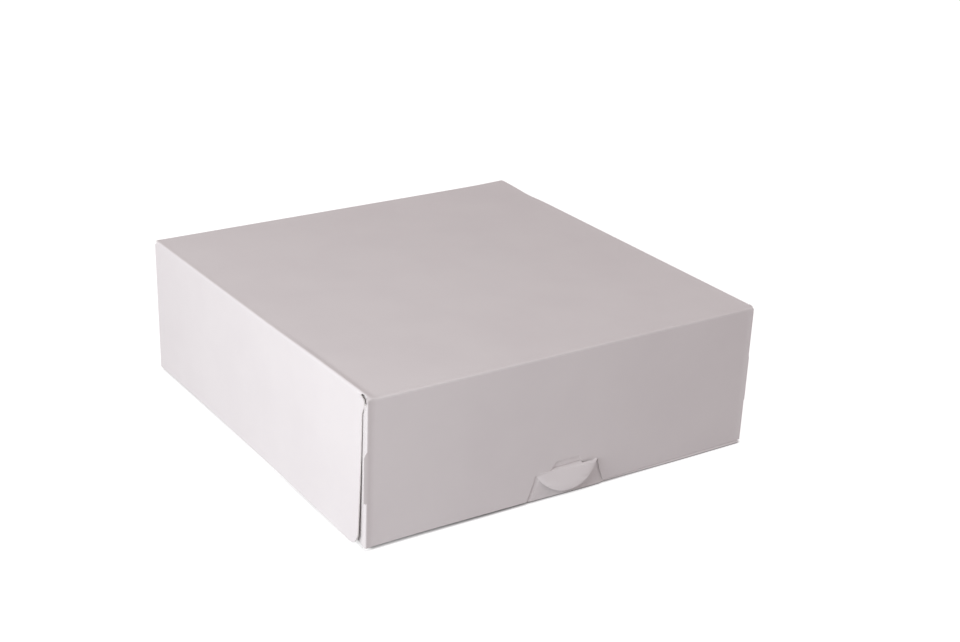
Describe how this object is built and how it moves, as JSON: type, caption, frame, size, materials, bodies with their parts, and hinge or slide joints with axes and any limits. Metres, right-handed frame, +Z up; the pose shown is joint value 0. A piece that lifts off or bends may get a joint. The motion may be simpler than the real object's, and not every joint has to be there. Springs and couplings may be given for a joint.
{
  "type": "cake box",
  "caption": "Square folding cake box of white paperboard with a hinged lid, hanging side flaps and a half-moon tongue lock at the front.",
  "frame": {"origin": "centre of the underside of the tray's floor", "axes": "+X to the right seen from the front, +Y from the front flap towards the hinge at the back, +Z up"},
  "size_m": [0.233, 0.2315, 0.0765],
  "materials": {
    "coated_board": "clay-coated white paperboard, soft satin"
  },
  "bodies": {
    "tray": {"tray": "coated_board"},
    "lid": {"lid": "coated_board"},
    "left_flap": {"side_flap_left": "coated_board"},
    "right_flap": {"side_flap_right": "coated_board"}
  },
  "joints": [
    {"name": "lid_hinge", "type": "hinge", "parent": "tray", "child": "lid", "pos_m": [0, 0.1142, 0.0762], "axis": [-1, 0, 0], "range_deg": [0, 120]},
    {"name": "left_flap_hinge", "type": "hinge", "parent": "lid", "child": "left_flap", "pos_m": [-0.1142, 0, 0.0762], "axis": [0, 1, 0], "range_deg": [0, 120]},
    {"name": "right_flap_hinge", "type": "hinge", "parent": "lid", "child": "right_flap", "pos_m": [0.1142, 0, 0.0762], "axis": [0, -1, 0], "range_deg": [0, 120]}
  ]
}
